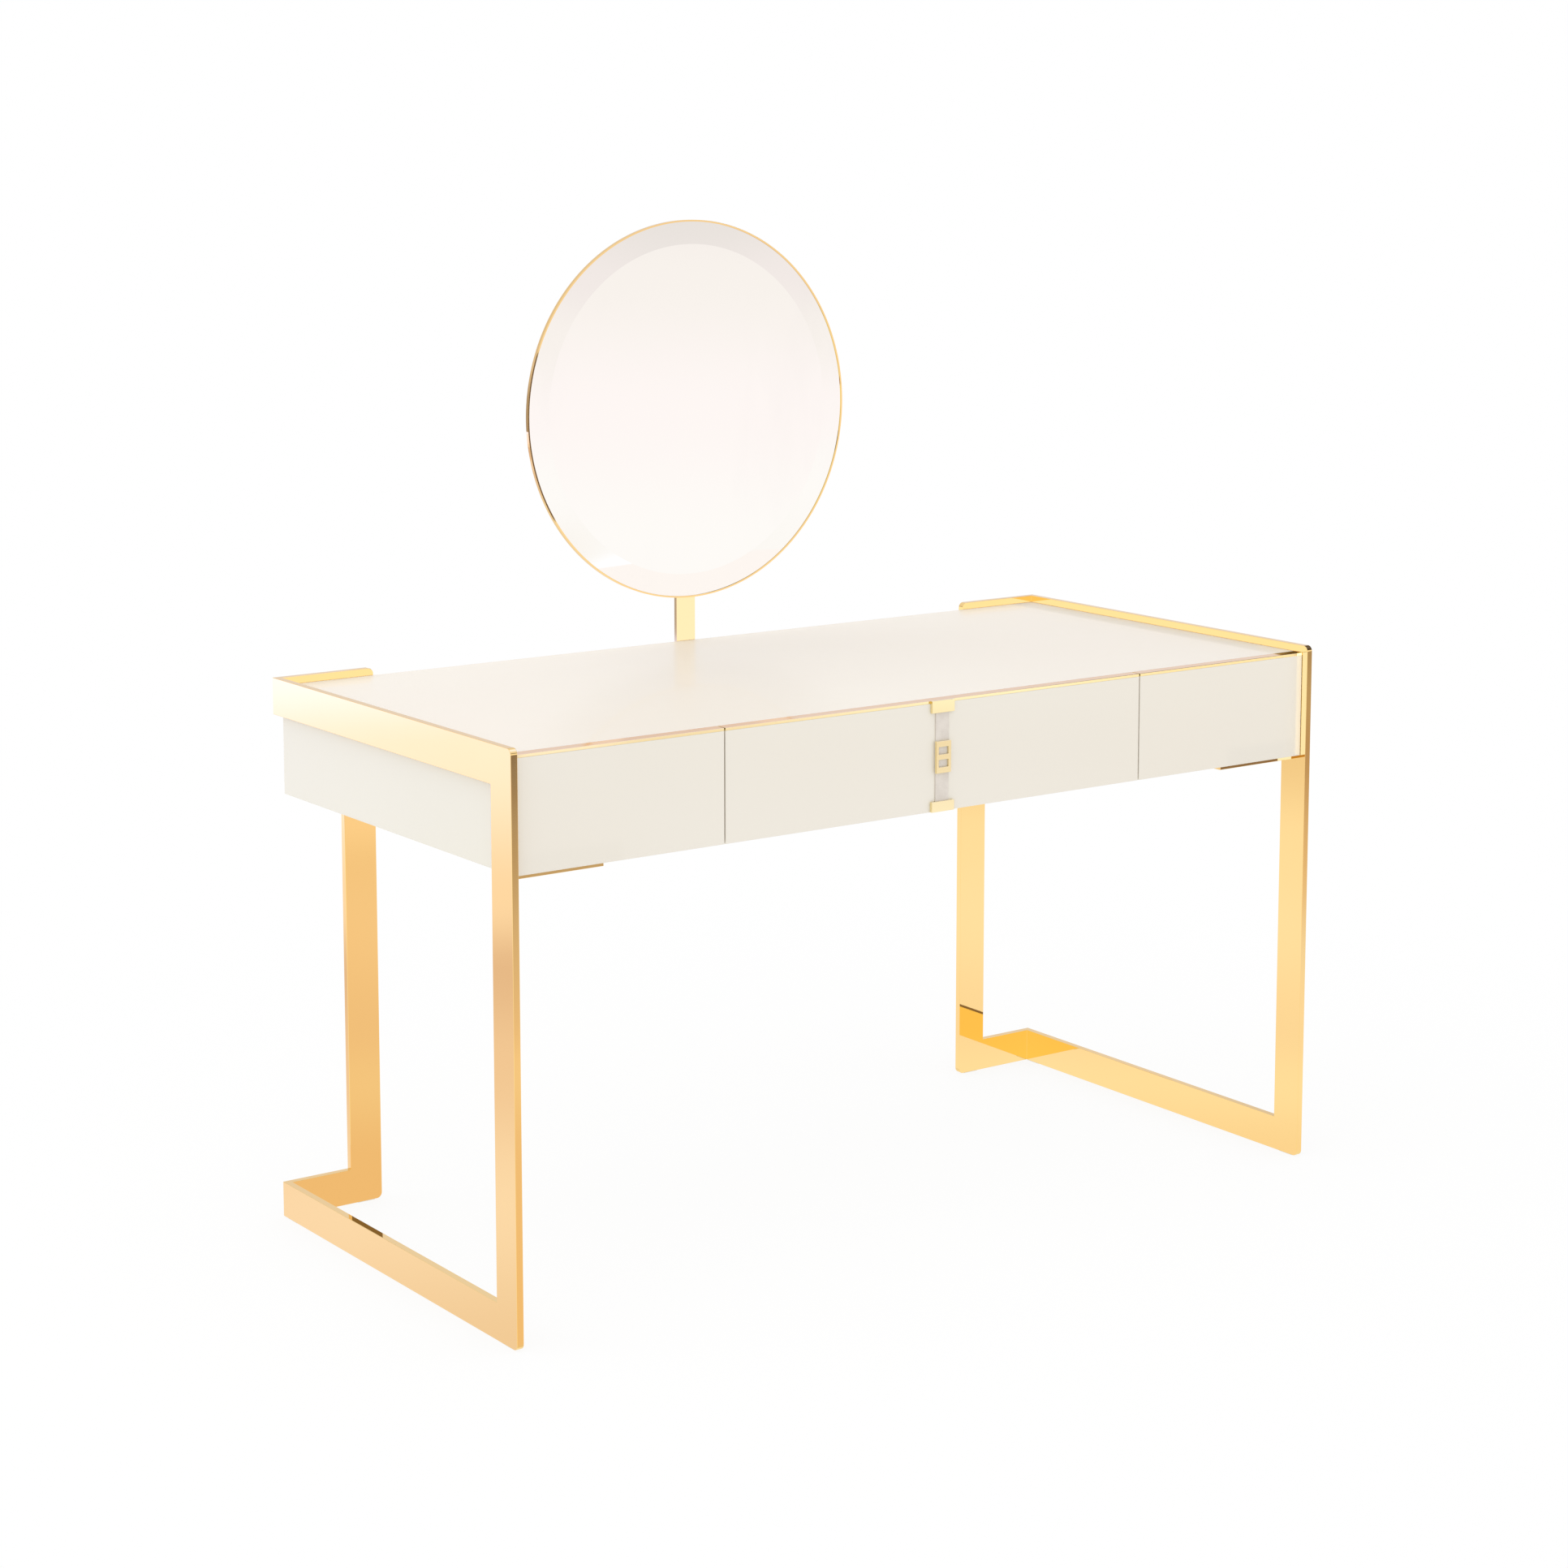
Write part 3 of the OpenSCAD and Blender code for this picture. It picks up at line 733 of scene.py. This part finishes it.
def studio_colour(n):
    """The studio's colour in each direction, for reflections."""
    axes = n.add("SeparateXYZ", {"Vector": n.place}).outputs
    x, y, z = axes["X"], axes["Y"], axes["Z"]
    in_front, behind = n.window(y, -0.3, -0.5), n.window(y, 0.3, 0.5)
    on_left, on_right = n.window(x, -0.2, -0.3), n.window(x, 0.2, 0.3)
    far_left, far_right = n.window(x, -0.54, -0.60), n.window(x, 0.60, 0.66)
    front_left, front_right = n.all_of(in_front, on_left), n.all_of(in_front, on_right)
    back_left = n.all_of(behind, on_left, n.window(x, -0.60, -0.54))
    front_middle = n.all_of(front_right, n.window(x, 0.54, 0.52))
    sunk = n.all_of(n.window(z, -0.225, -0.205), n.window(z, -0.165, -0.175))
    raised = n.all_of(n.window(z, 0.11, 0.14), n.window(z, 0.25, 0.21))

    colour = n.blend(back_left, n.ramp(z, AROUND, BRIGHTEST), n.ramp(z, BACK_LEFT, BRIGHTEST))
    # Low down the front right is a little dimmer. The front left is yellower, with a brown
    # band under the horizon.
    colour = n.tint(n.all_of(front_right, n.window(x, 0.51, 0.48), n.window(z, -0.14, -0.18)),
                    colour, (0.95, 0.90, 0.85))
    colour = n.tint(front_left, colour, (1.02, 1.10, 0.80))
    colour = n.tint(n.all_of(front_left, sunk), colour, (0.60, 0.45, 0.35))
    # At the front right a bright band lies just over the horizon, and a dark one over that.
    colour = n.tint(n.all_of(front_right, n.window(z, 0.04, 0.08), n.window(z, 0.20, 0.17)),
                    colour, (1.22, 1.20, 1.15))
    colour = n.tint(n.all_of(front_right, n.window(z, 0.21, 0.25), n.window(z, 0.52, 0.45)),
                    colour, (0.28, 0.26, 0.24))
    # Dark bands lie over the horizon at the far left, before and behind the table.
    colour = n.tint(n.all_of(behind, far_left, raised), colour, (0.10, 0.09, 0.08))
    colour = n.tint(n.all_of(in_front, far_left, raised), colour, (0.14, 0.12, 0.10))
    # A bright patch hangs high over the right front.
    colour = n.tint(n.all_of(on_right, n.window(z, 0.55, 0.75), n.window(y, 0.1, 0.0)),
                    colour, (1.25, 1.45, 2.40))
    # Under the horizon the front right has a cool bright band with a warm dim one below it
    # towards the middle, and a warm patch towards the right.
    colour = n.tint(n.all_of(front_middle, sunk), colour, (1.12, 1.18, 1.30))
    colour = n.tint(n.all_of(front_middle, n.window(z, -0.195, -0.205)),
                    colour, (0.94, 0.84, 0.73))
    colour = n.tint(n.all_of(in_front, n.window(x, 0.62, 0.67), n.window(z, -0.150, -0.158),
                             n.window(z, -0.25, -0.22)),
                    colour, (1.0, 0.85, 0.70))
    # The far right is dark from about 18 degrees up.
    return n.tint(n.all_of(far_right, n.window(z, 0.28, 0.34)), colour, (0.14, 0.12, 0.10))


def studio_world():
    """White to the camera, an even pale grey as light, and the studio in reflections."""
    world = bpy.data.worlds.new("studio")
    bpy.context.scene.world = world
    world.use_nodes = True
    n = Nodes(world.node_tree, "Generated")
    rays = n.add("LightPath").outputs
    lit = n.blend(rays["Is Glossy Ray"], (0.94, 0.94, 0.94, 1.0), studio_colour(n))
    seen = n.blend(rays["Is Camera Ray"], lit, WHITE)
    n.put(n.tree.nodes["Background"].inputs["Color"], seen)


def softbox(name, at, aim, size, power):
    """A soft rectangular light at a place, aimed at a point, that reflections don't see."""
    light = bpy.data.lights.new(name, "AREA")
    light.shape = "RECTANGLE"
    light.size, light.size_y = size
    light.energy = power
    obj = bpy.data.objects.new(name, light)
    bpy.context.scene.collection.objects.link(obj)
    obj.location = at
    obj.rotation_euler = (Vector(aim) - Vector(at)).to_track_quat("-Z", "Y").to_euler()
    obj.visible_glossy = False


# ---------------------------------------------------------------- cards

# Flat cards shape what the polished bars, fronts and rim reflect. Dark ones, the flags, stand
# before the table, where the main view's lines meet them once the front faces mirror them.
# Bright ones, the bounces, lie close to the table's own faces.
CAMERA_AT = Vector((-2.6591, -3.6648, 1.5072))
LEG_FLAG_Y, BEARER_FLAG_Y = -1.254, -1.304
FLAG_COLOUR = (0.13, 0.085, 0.08, 1.0)


def card(name, corners):
    """A flat card in the studio that only reflections see, and the shader that paints it."""
    s = Shader(name)
    bm = bmesh.new()
    bm.faces.new([bm.verts.new(corner) for corner in corners])
    obj = make_object(name, bm, s.material)
    obj.visible_camera = False
    obj.visible_diffuse = False
    obj.visible_shadow = False
    return s


def standing(left, right, bottom, top):
    """The corners of an upright card between two places (x, y) and two heights."""
    return [(*left, bottom), (*right, bottom), (*right, top), (*left, top)]


def show_through(s, solid, colour):
    """Ends a card's shader: a glowing colour where solid is 1, and nothing where it is 0."""
    clear = s.add("BsdfTransparent").outputs[0]
    face = s.add("Emission", {"Color": colour, "Strength": 1.0}).outputs[0]
    mix = s.add("MixShader", {0: solid, 1: clear, 2: face})
    s.surface(mix.outputs[0])


def shown(x, y, z, flag_y):
    """Where the camera's line, mirrored in a front face at a point, meets a flag's plane."""
    reach = (y - flag_y) / (y - CAMERA_AT.y)
    return x + reach * (x - CAMERA_AT.x), z + reach * (z - CAMERA_AT.z)


def flag(name, flag_y, low, high, dark_top, dark_bottom, soft):
    """A dark card that stands in front of the table, in the plane y = flag_y.

    low and high are its corners as (x, z), the two darknesses are how far it blots out the
    studio at its top and bottom, and soft is the width over which its sides and top fade.
    """
    s = card(name, standing((low[0], flag_y), (high[0], flag_y), low[1], high[1]))
    axes = s.add("SeparateXYZ", {"Vector": s.place}).outputs
    x, z = axes["X"], axes["Z"]
    dark = s.add("MapRange", {"Value": z, "From Min": low[1], "From Max": high[1],
                              "To Min": dark_bottom, "To Max": dark_top}).outputs[0]
    left_side = s.window(x, low[0], low[0] + soft)
    right_side = s.window(x, high[0], high[0] - soft)
    top_side = s.window(z, high[1], high[1] - soft)
    show_through(s, s.all_of(dark, left_side, right_side, top_side), FLAG_COLOUR)


def leg_flag(side, low_z, top_z, darkest):
    """Shades a front leg's edge, from nothing at low_z to its darkest at top_z.

    The flag is wider than the leg, by a little towards the table's middle and by more away
    from it.
    """
    inward, outward, soft = 0.013, 0.1, 0.012
    low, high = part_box(f"{side}_front_leg")
    left, bottom = shown(low.x, low.y, low_z, LEG_FLAG_Y)
    right, top = shown(high.x, low.y, top_z, LEG_FLAG_Y)
    spare = (outward, inward) if side == "left" else (inward, outward)
    flag(f"{side}_leg_flag", LEG_FLAG_Y, (left - spare[0], bottom), (right + spare[1], top),
         darkest, 0.0, soft)


def bearer_flag(side, darkness):
    """Shades a bearer's front edge, on the right only as far as the leg's own reflection."""
    spare, soft, leg_share = 0.02, 0.01, 20 * MM
    low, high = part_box(f"{side}_bearer")
    near, free = (low.x, high.x) if side == "left" else (high.x - leg_share, low.x)
    near, bottom = shown(near, low.y, low.z, BEARER_FLAG_Y)
    free, top = shown(free, low.y, high.z, BEARER_FLAG_Y)
    left, right = (near, free + spare) if side == "left" else (free - spare, near)
    flag(f"{side}_bearer_flag", BEARER_FLAG_Y, (left, bottom - spare),
         (right, top + 2 * spare), darkness, darkness, soft)


def rim_flag():
    """A dark arc that the mirror's thin rim shows down its left side."""
    inside, outside, darkness = 0.94, 1.06, 0.95
    start, end, steps = math.radians(160), math.radians(212), 24
    low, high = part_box("mirror_rim")
    middle_x, middle_z = shown((low.x + high.x) / 2, low.y, (low.z + high.z) / 2, LEG_FLAG_Y)
    edge_x, _ = shown(high.x, low.y, high.z, LEG_FLAG_Y)
    radius = edge_x - middle_x
    arc = [start + (end - start) * n / steps for n in range(steps + 1)]

    def ring(r, angles):
        return [(middle_x + r * math.cos(a), LEG_FLAG_Y, middle_z + r * math.sin(a))
                for a in angles]

    s = card("rim_flag", ring(radius * inside, arc) + ring(radius * outside, reversed(arc)))
    show_through(s, darkness, FLAG_COLOUR)


def bounce(name, corners, colour):
    """A bright card that faces the way its corners run anticlockwise, clear from behind."""
    s = card(name, corners)
    back = s.add("NewGeometry").outputs["Backfacing"]
    show_through(s, s.between(back, 1.0, 0.0), (*colour, 1.0))


def bounce_cards():
    """One lies over the table top. The others stand at the right ends of fronts and bearer."""
    gap, front_reach, bearer_drop = 0.4 * MM, 60 * MM, 12 * MM
    top_low, top_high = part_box("table_top")
    front_low, front_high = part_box("right_drawer_front")
    bearer_low, bearer_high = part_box("right_bearer")
    leg_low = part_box("right_front_leg")[0]
    trim_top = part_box("right_drawer_trim")[1].z
    left, right, near, far = top_low.x, top_high.x, front_low.y, top_high.y
    height = top_high.z + gap
    bounce("top_bounce", [(left, near, height), (right, near, height), (right, far, height),
                          (left, far, height)], (1.13, 1.11, 1.09))
    before = front_low.y - gap
    bounce("right_bounce", standing((front_high.x - front_reach, before),
                                    (front_high.x, before), front_low.z, trim_top),
           (1.0, 1.12, 1.28))
    beside = leg_low.x - gap
    bounce("front_end_bounce", standing((beside, front_low.y), (beside, leg_low.y),
                                        front_low.z, trim_top), (3.6, 2.8, 1.5))
    bounce("bearer_end_bounce", standing((beside, bearer_low.y), (beside, leg_low.y),
                                         bearer_low.z - bearer_drop, bearer_high.z),
           (1.0, 1.21, 1.53))


# ---------------------------------------------------------------- camera and studio

def camera():
    """The camera, at the height and side from which the table is usually shown."""
    data = bpy.data.cameras.new("camera")
    data.lens = 76.28
    data.sensor_width = 36.0
    data.shift_y = -0.14
    data.clip_start, data.clip_end = 0.1, 100.0
    obj = bpy.data.objects.new("camera", data)
    obj.location = CAMERA_AT
    yaw, pitch = 0.6206, 0.1366
    obj.rotation_euler = (math.pi / 2 - pitch, 0.0, -yaw)
    bpy.context.scene.collection.objects.link(obj)
    bpy.context.scene.camera = obj


studio_floor()
studio_world()
softbox("top_softbox", (-0.6, -0.6, 3.2), (0, 0, 0.5), (3.0, 2.4), 16)
softbox("left_softbox", (-3.4, 1.6, 1.9), (0, 0.3, 0.6), (2.0, 2.0), 10)
leg_flag("left", 0.37, 0.80, 0.98)
leg_flag("right", 0.214, 0.815, 0.8)
bearer_flag("left", 0.5)
bearer_flag("right", 0.82)
rim_flag()
bounce_cards()
camera()
bpy.context.scene.view_settings.view_transform = "Standard"
